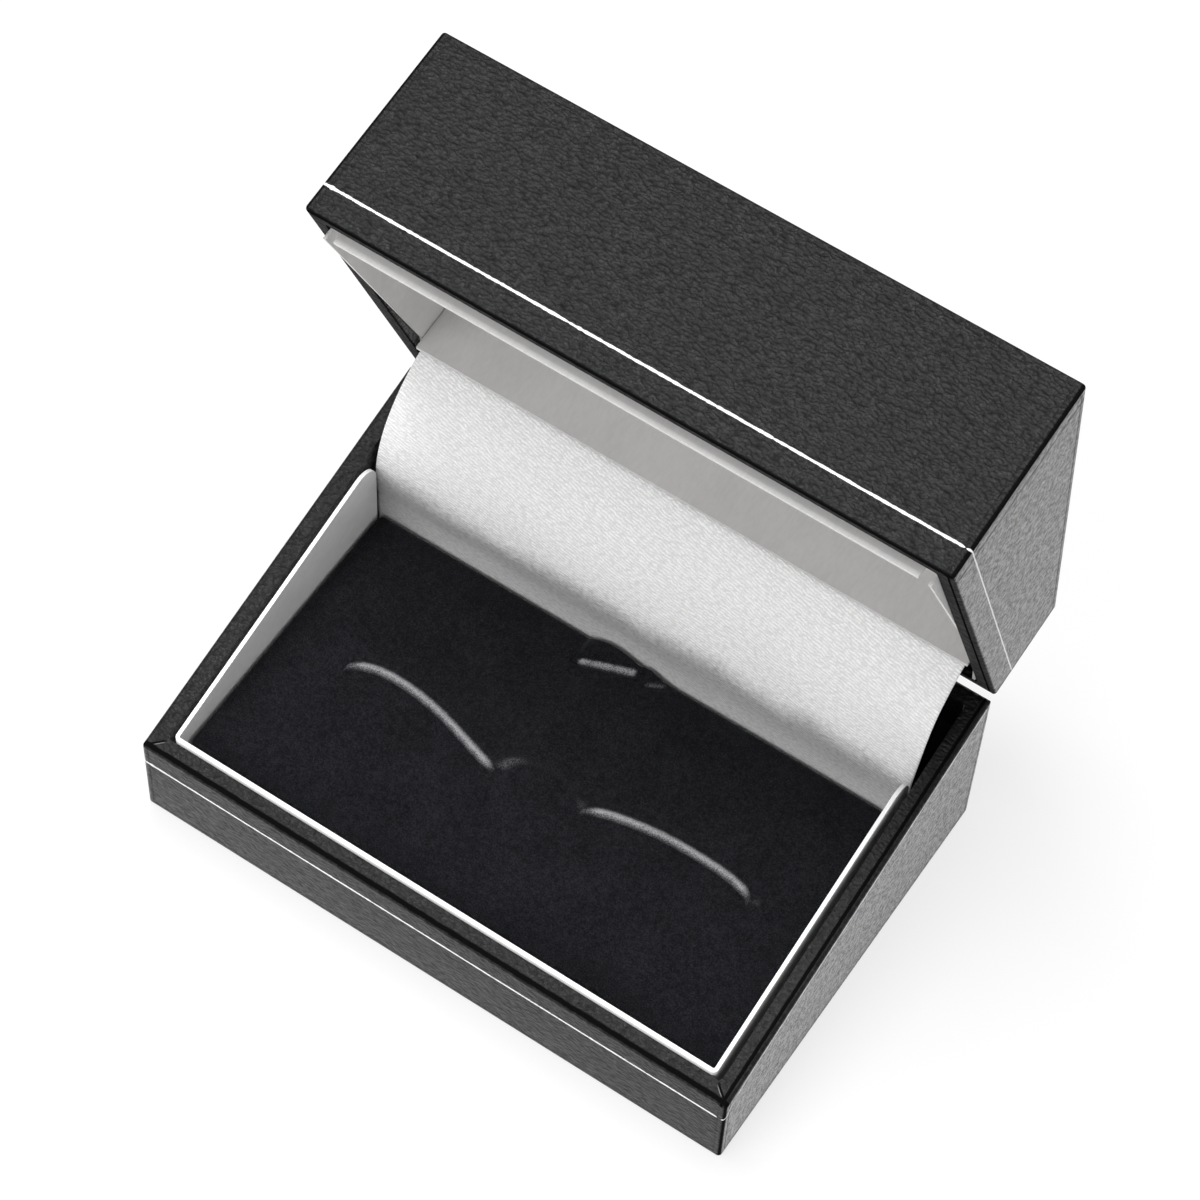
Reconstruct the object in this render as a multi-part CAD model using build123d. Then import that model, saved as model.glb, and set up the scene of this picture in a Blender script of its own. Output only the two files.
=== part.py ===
from build123d import *
import math
import os

# Cufflink display box, in millimetres. +Z is up, +X is to the right of someone facing the
# front, and -Y is the front. The origin is the centre of the underside. The lid is drawn
# closed, where it is easiest to read, and turned to its open resting place at the end.

# ---- The outside of the closed box ------------------------------------------------------
box_width = 85.0
box_depth = 57.5
box_height = 42.2
front_rim_height = 14.4
back_rim_height = 27.9
open_angle = 82.3

# ---- Shells and the leatherette that covers them ------------------------------------------
shell_wall = 1.6
shell_floor = 1.8
lid_roof = 1.8
wrap_thickness = 0.4
wrap_turn_in_thickness = 0.3
wrap_turn_in_depth = 6.0
wrap_margin_below = 8.0
corner_radius = 0.5
rim_bead_radius = 0.5
roof_edge_radius = 0.4
back_rim_radius = 0.8
split_gap = 0.2
bottom_sheet_thickness = 0.3
bottom_sheet_inset = 2.0

# ---- The fine white line round the front and sides of each half ---------------------------
trim_width = 0.35
trim_relief = 0.1
trim_below_rim = 3.75

# ---- White card collar that stands round the pad ------------------------------------------
collar_thickness = 0.5
collar_side_gap = 0.85
collar_front_gap = 0.1
collar_rise = 0.6
collar_end_radius = 3.0

# ---- Flocked pad with its two slits and thumb tab ------------------------------------------
pad_top = 13.0
flock_thickness = 0.6
foam_thickness = 3.4
board_thickness = 1.2
pad_clearance = 0.3
pad_front_gap = 1.25
pad_corner_radius = 1.0
slit_width = 0.7
slit_outer_end = 29.3
slit_inner_end = 6.4
slit_crest_offset = 21.5
slit_rise = 2.1
slit_lean = 1.5
board_slot_width = 3.2
tab_half_width = 6.2
tab_reach = 3.6
tab_slit_width = 0.5
thumb_recess_clearance = 0.9

# ---- Folded card frame under the pad -------------------------------------------------------
riser_thickness = 0.8
riser_inset = 0.8

# ---- Satin sheet over the hinge, and the card angles that hold its hems --------------------
satin_thickness = 0.3
satin_side_gap = 1.0
satin_hem_depth = 6.0
satin_rise = 4.0
satin_collar_gap = 0.6
pad_satin_gap = 0.42
satin_angle_gap = 0.05
satin_lid_gap = 0.3
drape_setback = 12.45
satin_bulge = 1.2
satin_fold = 0.2
satin_fold_count = 0.9
drape_sections = 4
angle_card_thickness = 0.8
angle_card_foot = 5.0

# ---- Card lining of the lid ----------------------------------------------------------------
lining_thickness = 0.4
lining_side_gap = 0.1
lining_front_gap = 1.1
lining_lip = 1.0
lining_lip_end_gap = 0.35
lining_collar_gap = 0.3
lining_back_recess = 1.6
ceiling_card_thickness = 0.5
hinge_cover_setback = 10.45
hinge_cover_thickness = 0.6

# ---- Steel leaf hinge on the back wall -----------------------------------------------------
hinge_below_rim = 0.5
hinge_length = 50.0
knuckle_count = 5
knuckle_gap = 0.15
knuckle_radius = 1.0
pin_radius = 0.5
pin_clearance = 0.05
pin_head_radius = 0.85
pin_head_length = 0.4
groove_clearance = 0.2
leaf_thickness = 0.45
leaf_height = 9.0
arm_rim_clearance = 0.04
notch_clearance = 0.15
rivet_shank_radius = 0.8
rivet_head_radius = 1.5
rivet_head_height = 0.5
rivet_hole_clearance = 0.04
rivet_spacing = 17.0

# ---- Levels and faces that follow from the sizes above -------------------------------------
half_width = box_width / 2
half_depth = box_depth / 2
rim_slope = (back_rim_height - front_rim_height) / box_depth
rim_angle = math.degrees(math.atan(rim_slope))
wall_total = wrap_thickness + shell_wall + wrap_turn_in_thickness
shell_underside = bottom_sheet_thickness + wrap_thickness
floor_top = shell_underside + shell_floor
roof_underside = box_height - wrap_thickness - lid_roof
ceiling = roof_underside - ceiling_card_thickness
inner_back = half_depth - wall_total

collar_side_outer = half_width - wall_total - collar_side_gap
collar_front_outer = -half_depth + wall_total + collar_front_gap
collar_side_inner = collar_side_outer - collar_thickness
collar_front_inner = collar_front_outer + collar_thickness

satin_front = half_depth - drape_setback
satin_middle = satin_front + satin_thickness / 2
satin_half_width = half_width - wall_total - satin_side_gap
collar_end = satin_front - satin_collar_gap
pad_half_width = collar_side_inner - pad_clearance
pad_front = collar_front_inner + pad_front_gap
pad_back = satin_front - pad_satin_gap
pad_underside = pad_top - flock_thickness - foam_thickness - board_thickness
pad_depth = pad_back - pad_front
pad_middle = (pad_back + pad_front) / 2

hinge_cover_front = half_depth - hinge_cover_setback
hinge_cover_back = hinge_cover_front + hinge_cover_thickness

pivot_y = half_depth
pivot_z = back_rim_height - hinge_below_rim
pin_hole_radius = pin_radius + pin_clearance
rim_to_pivot = hinge_below_rim * math.cos(math.radians(rim_angle))
reach = 2 * max(box_width, box_depth, box_height)
tiny = 0.001


def rim_height(y):
    """Height of the sloping split line at a distance y from the middle of the box."""
    return front_rim_height + (y + half_depth) * rim_slope


def from_side(points):
    """A solid that runs across the whole width, from its outline seen from the side."""
    face = make_face(Plane.YZ * Polyline(*points, close=True))
    return extrude(face, amount=reach, both=True)


def below_rim(offset):
    """Everything under the split plane, moved up by the offset."""
    return from_side([
        (-reach, -reach),
        (reach, -reach),
        (reach, rim_height(reach) + offset),
        (-reach, rim_height(-reach) + offset),
    ])


def above_rim(offset):
    """Everything over the split plane, moved up by the offset."""
    return from_side([
        (-reach, rim_height(-reach) + offset),
        (reach, rim_height(reach) + offset),
        (reach, rim_height(reach) + offset + reach),
        (-reach, rim_height(-reach) + offset + reach),
    ])


def upright_block(inset, low, high, radius):
    """A block with rounded upright corners, inset from the outside of the box."""
    outline = RectangleRounded(box_width - 2 * inset, box_depth - 2 * inset, radius)
    return Pos(0, 0, low) * extrude(outline, amount=high - low)


def plan_block(x_low, x_high, y_low, y_high, low, high):
    """A plain block between two corners."""
    return Pos((x_low + x_high) / 2, (y_low + y_high) / 2, (low + high) / 2) * Box(
        x_high - x_low, y_high - y_low, high - low
    )


def rimmed_block(points, inset, radius, bead_radius):
    """A block under a sloping rim, with a bead round the rim and its back corner rolled."""
    back = half_depth - inset
    face = make_face(Plane.YZ * Polyline(*points, close=True))
    upright = upright_block(inset, -1, reach, radius)
    block = extrude(face, amount=half_width, both=True) & upright
    if bead_radius:
        rim_level = points[3][1] - rim_height(points[3][0])
        loop = []
        for edge in block.edges():
            middle = edge @ 0.5
            if abs(middle.Z - rim_height(middle.Y) - rim_level) < 0.02:
                loop.append(edge)
        block = fillet(loop, bead_radius)
    corner = [
        vertex
        for vertex in face.vertices()
        if abs(vertex.Y - back) < 0.01 and abs(vertex.Z - back_rim_height) < 2
    ]
    rolled = fillet(corner, back_rim_radius - inset)
    return block & extrude(rolled, amount=box_width, both=True)


def base_block(inset, low, rim_drop, radius, bead_radius=0):
    """The outside of the base, from a level up to the sloping rim."""
    back = half_depth - inset
    return rimmed_block([
        (-back, low),
        (back, low),
        (back, rim_height(back) - rim_drop),
        (-back, rim_height(-back) - rim_drop),
    ], inset, radius, bead_radius)


def lid_block(inset, high, rim_lift, radius, bead_radius=0):
    """The outside of the closed lid, from the sloping rim up to a level."""
    back = half_depth - inset
    return rimmed_block([
        (-back, high),
        (back, high),
        (back, rim_height(back) + rim_lift),
        (-back, rim_height(-back) + rim_lift),
    ], inset, radius, bead_radius)


def opened(part):
    """Turn a lid piece about the hinge pin to where it rests when the box is open."""
    return Pos(0, pivot_y, pivot_z) * Rot(-open_angle, 0, 0) * Pos(0, -pivot_y, -pivot_z) * part


# ---- The knuckles: which leaf owns each stretch of the barrel ------------------------------
knuckle_pitch = hinge_length / knuckle_count
knuckle_middles = [(i + 0.5) * knuckle_pitch - hinge_length / 2 for i in range(knuckle_count)]
base_knuckles = knuckle_middles[0::2]
lid_knuckles = knuckle_middles[1::2]
arm_width = knuckle_pitch - knuckle_gap


def along_barrel(face, middles, width):
    """Extrude a side outline over the stretches of the barrel centred on the middles."""
    return [Pos(middle, 0, 0) * extrude(face, amount=width / 2, both=True) for middle in middles]


def level_point(y, height):
    """A point above the pivot's own line parallel to the rim, measured square to the rim."""
    return (y, pivot_z + (y - pivot_y) * rim_slope + height / math.cos(math.radians(rim_angle)))


def arm_outline(low, high, y_low, y_high):
    """A strip parallel to the rim, between two heights over the pivot."""
    return make_face(Plane.YZ * Polyline(
        level_point(y_low, low),
        level_point(y_high, low),
        level_point(y_high, high),
        level_point(y_low, high),
        close=True,
    ))


base_arm_high = rim_to_pivot - arm_rim_clearance
base_arm_low = base_arm_high - leaf_thickness
lid_arm_low = rim_to_pivot + arm_rim_clearance
lid_arm_high = lid_arm_low + leaf_thickness


def hinge_leaf(middles, arm_low, arm_high, arm_end, plate_low, plate_high):
    """A stamped leaf: plate on the inside of the wall, arms over the rim, rolled knuckles."""
    plate = plan_block(
        -hinge_length / 2, hinge_length / 2,
        inner_back - leaf_thickness, inner_back,
        plate_low, plate_high,
    )
    plate = fillet(plate.edges().filter_by(Axis.Y), 1.5)
    arm = arm_outline(arm_low, arm_high, inner_back - leaf_thickness, arm_end)
    knuckle = Plane.YZ * Pos(pivot_y, pivot_z) * Circle(knuckle_radius)
    hole = Plane.YZ * Pos(pivot_y, pivot_z) * Circle(pin_hole_radius)
    leaf = plate
    for solid in along_barrel(arm, middles, arm_width) + along_barrel(knuckle, middles, arm_width):
        leaf += solid
    for solid in along_barrel(hole, middles, arm_width + 1):
        leaf -= solid
    return leaf


def riser_strips(middles, low, high):
    """The narrow upright strips that join a leaf's plate to its arms."""
    strips = []
    for middle in middles:
        strips.append(plan_block(
            middle - arm_width / 2, middle + arm_width / 2,
            inner_back - leaf_thickness, inner_back, low, high,
        ))
    return strips


def rivet_places(height):
    return [Pos(step * rivet_spacing, 0, height) for step in (-1, 0, 1)]


def rivet():
    """A tubular rivet: domed head on the leaf, tail spread in the outside of the shell."""
    shell_outside = half_depth - wrap_thickness
    leaf_inside = inner_back - leaf_thickness
    tail_depth = rivet_head_radius - rivet_shank_radius
    profile = make_face(Polyline(
        (0, leaf_inside - rivet_head_height),
        (rivet_head_radius * 0.7, leaf_inside - rivet_head_height),
        (rivet_head_radius, leaf_inside),
        (rivet_shank_radius, leaf_inside),
        (rivet_shank_radius, shell_outside - tail_depth),
        (rivet_head_radius, shell_outside),
        (0, shell_outside),
        close=True,
    ))
    return revolve(profile, Axis.Y)


def rivet_hole():
    """The hole that the rivet fills, a little larger all round."""
    shell_outside = half_depth - wrap_thickness
    spread = rivet_head_radius + rivet_hole_clearance
    shank = rivet_shank_radius + rivet_hole_clearance
    profile = make_face(Polyline(
        (0, inner_back - leaf_thickness - 1),
        (shank, inner_back - leaf_thickness - 1),
        (shank, shell_outside - (spread - shank)),
        (spread, shell_outside),
        (0, shell_outside),
        close=True,
    ))
    return revolve(profile, Axis.Y)


base_plate_high = rim_height(inner_back) - 1.2
base_plate_low = base_plate_high - leaf_height
lid_plate_low = rim_height(inner_back) + 1.6
lid_plate_high = lid_plate_low + leaf_height - 1.0
base_rivet_height = base_plate_low + 2.0
lid_rivet_height = lid_plate_high - 2.0
arm_notch_width = arm_width + 2 * notch_clearance
groove = Plane.YZ * Pos(pivot_y, pivot_z) * Circle(knuckle_radius + groove_clearance)
groove_solid = along_barrel(groove, [0], hinge_length + 4 * pin_head_length)[0]
base_notch = arm_outline(base_arm_low - notch_clearance, 4, inner_back - 2, pivot_y)
lid_notch = arm_outline(-4, lid_arm_high + notch_clearance, inner_back - 2, pivot_y)
base_cutters = [groove_solid] + along_barrel(base_notch, base_knuckles, arm_notch_width)
lid_cutters = [groove_solid] + along_barrel(lid_notch, lid_knuckles, arm_notch_width)
strip_slot_depth = leaf_thickness + 2 * notch_clearance


# ---- Base ----------------------------------------------------------------------------------
def make_base_shell():
    shell = base_block(wrap_thickness, shell_underside, wrap_thickness, corner_radius - wrap_thickness)
    shell -= upright_block(wrap_thickness + shell_wall, floor_top, reach, corner_radius)
    for cutter in base_cutters:
        shell -= cutter
    for place in rivet_places(base_rivet_height):
        shell -= place * rivet_hole()
    return shell


def make_base_wrap():
    """Leatherette: outside walls, over the rim, down inside, and turned under the floor."""
    wrap = base_block(0, bottom_sheet_thickness, 0, corner_radius, rim_bead_radius)
    wrap -= base_block(wrap_thickness, shell_underside, wrap_thickness, corner_radius - wrap_thickness)
    wrap -= upright_block(wall_total, floor_top, reach, corner_radius)
    turned = upright_block(wrap_thickness + shell_wall, floor_top, reach, corner_radius)
    turned -= upright_block(wall_total, floor_top - 1, reach + 1, corner_radius)
    turned &= below_rim(-wrap_thickness)
    turned &= above_rim(-wrap_turn_in_depth)
    wrap += turned
    wrap -= upright_block(wrap_margin_below, -1, shell_underside + 1, corner_radius)
    for cutter in base_cutters:
        wrap -= cutter
    return wrap


def make_trim(offset_low, offset_high):
    """A fine raised line round the front and both sides, parallel to the rim."""
    band = upright_block(-trim_relief, 0, box_height, corner_radius + trim_relief)
    band -= upright_block(0, -1, box_height + 1, corner_radius)
    band &= above_rim(offset_low) & below_rim(offset_high)
    back = half_depth - corner_radius
    band -= plan_block(-reach, reach, back, reach, -1, box_height + 1)
    return band


def make_base_trim():
    drop = trim_below_rim / math.cos(math.radians(rim_angle))
    return make_trim(-drop - trim_width / 2, -drop + trim_width / 2)


def make_bottom_sheet():
    return upright_block(bottom_sheet_inset, 0, bottom_sheet_thickness, 2.0)


def make_base_collar():
    """One strip of white card, creased at two corners, with its back ends rounded off."""
    outer = plan_block(-collar_side_outer, collar_side_outer, collar_front_outer, collar_end, floor_top, reach)
    outer = fillet(outer.edges().filter_by(Axis.Z).sort_by(Axis.Y)[:2], collar_thickness + 0.2)
    inner = plan_block(-collar_side_inner, collar_side_inner, collar_front_inner, reach, 0, 2 * reach)
    inner = fillet(inner.edges().filter_by(Axis.Z).sort_by(Axis.Y)[:2], 0.2)
    collar = (outer - inner) & below_rim(collar_rise)
    top_back = [
        edge
        for edge in collar.edges().filter_by(Axis.X)
        if abs(edge.center().Y - collar_end) < 0.01 and edge.center().Z > front_rim_height
    ]
    return fillet(top_back, collar_end_radius)


# ---- Pad -----------------------------------------------------------------------------------
def slit_line(side):
    """The arched slit on one side of the pad, its inner end a little lower than its outer."""
    outer = (side * slit_outer_end, pad_middle)
    crest = (side * slit_crest_offset, pad_middle + slit_rise)
    inner = (side * slit_inner_end, pad_middle - slit_lean)
    return ThreePointArc(outer, crest, inner)


def slit_cutter(width):
    cutters = []
    for side in (-1, 1):
        band = trace(slit_line(side), line_width=width)
        cutters.append(Pos(0, 0, pad_underside - 1) * extrude(band, amount=pad_top - pad_underside + 2))
    return cutters


def pad_outline(inset):
    outline = RectangleRounded(
        2 * (pad_half_width - inset), pad_depth - 2 * inset, pad_corner_radius - inset
    )
    return Pos(0, pad_middle) * outline


def thumb_recess(extra):
    """The half-round hollow under the thumb tab at the back edge of the pad."""
    radius = (tab_half_width ** 2 + tab_reach ** 2) / (2 * tab_reach)
    middle = Pos(0, pad_back - tab_reach + radius)
    return middle * Circle(radius + extra)


def make_pad_flock():
    """The flocked cover: a shallow lid over the foam, cut by both slits and the tab."""
    cover = Pos(0, 0, pad_underside) * extrude(pad_outline(0), amount=pad_top - pad_underside)
    skirt = flock_thickness * 0.7
    cover -= Pos(0, 0, pad_underside - 1) * extrude(
        pad_outline(skirt), amount=pad_top - flock_thickness - pad_underside + 1
    )
    for cutter in slit_cutter(slit_width):
        cover -= cutter
    ring = thumb_recess(tab_slit_width / 2) - thumb_recess(-tab_slit_width / 2)
    keep_clear = Pos(0, pad_back - tab_reach) * Rectangle(2 * tab_half_width, 2 * tab_reach)
    tab_cut = Pos(0, 0, pad_top - flock_thickness - 1) * extrude(
        ring & keep_clear, amount=flock_thickness + 2
    )
    return cover - tab_cut


def make_pad_foam():
    low = pad_underside + board_thickness
    foam = Pos(0, 0, low) * extrude(pad_outline(flock_thickness * 0.7), amount=foam_thickness)
    for cutter in slit_cutter(slit_width):
        foam -= cutter
    recess = thumb_recess(thumb_recess_clearance)
    return foam - Pos(0, 0, low - 1) * extrude(recess, amount=foam_thickness + 2)


def make_pad_board():
    board = Pos(0, 0, pad_underside) * extrude(
        pad_outline(flock_thickness * 0.7), amount=board_thickness
    )
    for cutter in slit_cutter(board_slot_width):
        board -= cutter
    recess = thumb_recess(thumb_recess_clearance)
    return board - Pos(0, 0, pad_underside - 1) * extrude(recess, amount=board_thickness + 2)


def make_pad_riser():
    """A folded card frame that stands on the floor and carries the pad's edge."""
    outline = RectangleRounded(
        2 * (pad_half_width - riser_inset), pad_depth - 2 * riser_inset, riser_thickness
    )
    hollow = Rectangle(
        2 * (pad_half_width - riser_inset - riser_thickness),
        pad_depth - 2 * riser_inset - 2 * riser_thickness,
    )
    frame = Pos(0, pad_middle) * (outline - hollow)
    return Pos(0, 0, floor_top) * extrude(frame, amount=pad_underside - floor_top)


# ---- Satin and the card angles that hold it -------------------------------------------------
base_angle_front = satin_front + satin_thickness + satin_angle_gap
drape_turn_height = pad_top + satin_rise


def make_satin_angle():
    """The card angle on the floor behind the pad that the lower hem is glued to."""
    top = pad_top - 0.6
    return from_side([
        (base_angle_front, floor_top),
        (base_angle_front + angle_card_foot, floor_top),
        (base_angle_front + angle_card_foot, floor_top + angle_card_thickness),
        (base_angle_front + angle_card_thickness, floor_top + angle_card_thickness),
        (base_angle_front + angle_card_thickness, top),
        (base_angle_front, top),
    ]) & plan_block(-pad_half_width, pad_half_width, -reach, reach, -reach, reach)


def lid_point(y, z):
    """Where a point of the closed lid stands, seen from the side, once the lid is open."""
    turn = math.radians(open_angle)
    dy = y - pivot_y
    dz = z - pivot_z
    return (
        pivot_y + dy * math.cos(turn) + dz * math.sin(turn),
        pivot_z - dy * math.sin(turn) + dz * math.cos(turn),
    )


def drape_path():
    """The satin's mean line from the side: hem, rise, one backward sweep, and the upper hem."""
    hem_y = hinge_cover_back + satin_lid_gap + satin_thickness / 2
    cover_low = rim_height(hinge_cover_front) + split_gap
    edge_y, edge_z = lid_point(hem_y, cover_low)
    hem_end = lid_point(hem_y, cover_low + satin_hem_depth)
    hem_low = (satin_middle, pad_top - satin_hem_depth)
    turn_start = (satin_middle, drape_turn_height)
    run = edge_y - satin_middle
    climb = edge_z - drape_turn_height
    radius = (run ** 2 + climb ** 2) / (2 * run)
    half_sweep = math.atan2(climb, radius - run) / 2
    crest = (
        satin_middle + radius - radius * math.cos(half_sweep),
        drape_turn_height + radius * math.sin(half_sweep),
    )
    return Wire([
        Line(hem_low, turn_start).edge(),
        ThreePointArc(turn_start, crest, (edge_y, edge_z)).edge(),
        Line((edge_y, edge_z), hem_end).edge(),
    ])


def drape_section(path, across):
    """The satin's outline at one place across the width, fuller towards the left."""
    slack_start = (satin_hem_depth + satin_rise) / path.length
    slack_end = 1 - satin_hem_depth / path.length
    fullness = satin_bulge * (1 - across) / 2
    fullness += satin_fold * math.cos(2 * math.pi * satin_fold_count * across)

    def face_point(share, push):
        middle = path.position_at(share)
        tangent = path.tangent_at(share)
        return (across * satin_half_width, middle.X - tangent.Y * push, middle.Y + tangent.X * push)

    def face_line(side):
        offset = side * satin_thickness / 2
        return [
            face_point(0, offset),
            face_point(slack_start, offset),
            face_point((slack_start + slack_end) / 2, offset + fullness),
            face_point(slack_end - tiny, offset),
            face_point(1, offset),
        ]

    front = face_line(1)
    back = face_line(-1)
    return Wire([
        Line(front[0], front[1]).edge(),
        ThreePointArc(front[1], front[2], front[3]).edge(),
        Line(front[3], front[4]).edge(),
        Line(front[4], back[4]).edge(),
        Line(back[4], back[3]).edge(),
        ThreePointArc(back[3], back[2], back[1]).edge(),
        Line(back[1], back[0]).edge(),
        Line(back[0], front[0]).edge(),
    ])


def make_satin_drape():
    """Satin sheet, glued behind the pad and under the hinge cover, with its slack between."""
    path = drape_path()
    sections = []
    for step in range(drape_sections + 1):
        sections.append(drape_section(path, 2 * step / drape_sections - 1))
    print("satin length from hem to hem", round(path.length, 2))
    return Solid.make_loft(sections, ruled=True)


# ---- Lid -----------------------------------------------------------------------------------
lid_rim_lift = split_gap


def make_lid_shell():
    high = box_height - wrap_thickness
    shell = lid_block(wrap_thickness, high, lid_rim_lift + wrap_thickness, corner_radius - wrap_thickness)
    shell -= upright_block(wrap_thickness + shell_wall, -reach, roof_underside, corner_radius)
    for cutter in lid_cutters:
        shell -= cutter
    for place in rivet_places(lid_rivet_height):
        shell -= place * rivet_hole()
    return shell


def make_lid_wrap():
    """Leatherette over the top and walls of the lid, round its rim and up the inside."""
    wrap = lid_block(0, box_height, lid_rim_lift, corner_radius, rim_bead_radius)
    top_edges = wrap.faces().sort_by(Axis.Z)[-1].edges()
    wrap = fillet(top_edges, roof_edge_radius)
    wrap -= lid_block(
        wrap_thickness, box_height - wrap_thickness,
        lid_rim_lift + wrap_thickness, corner_radius - wrap_thickness,
    )
    wrap -= upright_block(wall_total, -reach, roof_underside, corner_radius)
    turned = upright_block(wrap_thickness + shell_wall, 0, roof_underside, corner_radius)
    turned -= upright_block(wall_total, -1, box_height, corner_radius)
    turned &= above_rim(lid_rim_lift + wrap_thickness)
    turned &= below_rim(lid_rim_lift + wrap_turn_in_depth)
    wrap += turned
    for cutter in lid_cutters:
        wrap -= cutter
    return wrap


def make_lid_trim():
    lift = lid_rim_lift + trim_below_rim / math.cos(math.radians(rim_angle))
    return make_trim(lift - trim_width / 2, lift + trim_width / 2)


lining_side = half_width - wall_total - lining_side_gap
lining_front = -half_depth + wall_total + lining_front_gap
lining_end = inner_back - leaf_thickness - rivet_head_height - 0.6


def make_lining_walls():
    """One strip of card round the front and sides of the lid. Its lip drops inside the collar."""
    outer = plan_block(-lining_side, lining_side, lining_front, lining_end, 0, ceiling)
    outer = fillet(outer.edges().filter_by(Axis.Z).sort_by(Axis.Y)[:2], lining_thickness + 0.2)
    inner = plan_block(
        lining_thickness - lining_side, lining_side - lining_thickness,
        lining_front + lining_thickness, reach, -1, reach,
    )
    inner = fillet(inner.edges().filter_by(Axis.Z).sort_by(Axis.Y)[:2], 0.2)
    lower_edge = from_side([
        (-reach, rim_height(lining_front) - lining_lip),
        (lining_front + lining_thickness, rim_height(lining_front) - lining_lip),
        (hinge_cover_front, rim_height(hinge_cover_front) + lining_back_recess),
        (reach, rim_height(hinge_cover_front) + lining_back_recess),
        (reach, -reach),
        (-reach, -reach),
    ])
    walls = outer - inner - lower_edge
    lip_end = collar_side_inner - lining_lip_end_gap
    notch_back = lining_front + lining_thickness + lining_collar_gap
    notch_top = rim_height(lining_front) + collar_rise + lining_collar_gap
    walls -= plan_block(lip_end, reach, -reach, notch_back, -1, notch_top)
    walls -= plan_block(-reach, -lip_end, -reach, notch_back, -1, notch_top)
    return walls


def make_lining_top():
    outline = Rectangle(2 * lining_side, lining_end - lining_front)
    middle = (lining_end + lining_front) / 2
    return Pos(0, middle, ceiling) * extrude(outline, amount=ceiling_card_thickness)


def make_hinge_cover():
    """The card angle in the lid that hides the hinge and holds the satin's upper hem."""
    low = rim_height(hinge_cover_front) + split_gap
    foot_back = hinge_cover_back + angle_card_foot - 1.0
    half = lining_side - lining_thickness - 0.1
    return from_side([
        (hinge_cover_front, low),
        (hinge_cover_back, low),
        (hinge_cover_back, ceiling - hinge_cover_thickness),
        (foot_back, ceiling - hinge_cover_thickness),
        (foot_back, ceiling),
        (hinge_cover_front, ceiling),
    ]) & plan_block(-half, half, -reach, reach, -reach, reach)


# ---- Hinge ---------------------------------------------------------------------------------
def make_base_leaf():
    leaf = hinge_leaf(
        base_knuckles, base_arm_low, base_arm_high, pivot_y - pin_hole_radius - 0.1,
        base_plate_low, base_plate_high,
    )
    top = level_point(inner_back, base_arm_low)[1]
    for strip in riser_strips(base_knuckles, base_plate_high - 1, top + leaf_thickness * 0.3):
        leaf += strip
    for place in rivet_places(base_rivet_height):
        leaf -= place * rivet_hole()
    return leaf


def make_lid_leaf():
    leaf = hinge_leaf(
        lid_knuckles, lid_arm_low, lid_arm_high, pivot_y, lid_plate_low, lid_plate_high
    )
    low = level_point(inner_back - leaf_thickness, lid_arm_low)[1]
    for strip in riser_strips(lid_knuckles, low + leaf_thickness * 0.5, lid_plate_low + 1):
        leaf += strip
    for place in rivet_places(lid_rivet_height):
        leaf -= place * rivet_hole()
    return leaf


def make_pin():
    half = hinge_length / 2
    profile = make_face(Polyline(
        (-half - pin_head_length, 0),
        (-half - pin_head_length, pin_head_radius),
        (-half, pin_head_radius),
        (-half, pin_radius),
        (half, pin_radius),
        (half, pin_head_radius),
        (half + pin_head_length, pin_head_radius),
        (half + pin_head_length, 0),
        close=True,
    ))
    return Pos(0, pivot_y, pivot_z) * revolve(profile, Axis.X)


def make_rivets(height):
    return Compound(children=[place * rivet() for place in rivet_places(height)])


parts = {
    "base_shell": make_base_shell(),
    "base_wrap": make_base_wrap(),
    "base_trim_line": make_base_trim(),
    "base_bottom_sheet": make_bottom_sheet(),
    "base_collar": make_base_collar(),
    "pad_riser": make_pad_riser(),
    "satin_angle": make_satin_angle(),
    "satin_drape": make_satin_drape(),
    "hinge_base_leaf": make_base_leaf(),
    "hinge_base_rivets": make_rivets(base_rivet_height),
    "hinge_pin": make_pin(),
    "pad_flock": make_pad_flock(),
    "pad_foam": make_pad_foam(),
    "pad_board": make_pad_board(),
    "lid_shell": opened(make_lid_shell()),
    "lid_wrap": opened(make_lid_wrap()),
    "lid_trim_line": opened(make_lid_trim()),
    "lid_lining_walls": opened(make_lining_walls()),
    "lid_lining_top": opened(make_lining_top()),
    "lid_hinge_cover": opened(make_hinge_cover()),
    "hinge_lid_leaf": opened(make_lid_leaf()),
    "hinge_lid_rivets": opened(make_rivets(lid_rivet_height)),
}

os.makedirs("parts", exist_ok=True)
for name, part in parts.items():
    export_step(part, f"parts/{name}.step")
    print(name, "solids", len(part.solids()), "volume", round(part.volume, 1))
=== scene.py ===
# %% [markdown]
# # An open cufflink box
# The box is a small moulded shell and lid covered in black pebbled leatherette. White card
# stands round a black flocked pad, and a sheet of white satin hangs over the hinge. The hard
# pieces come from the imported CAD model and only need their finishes. The soft pieces, and the
# fine white line round each half, are made here, because their charm is in small
# irregularities that a CAD solid doesn't carry.

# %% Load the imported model
import math

import bpy
import numpy as np
from mathutils import Matrix, Vector


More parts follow.
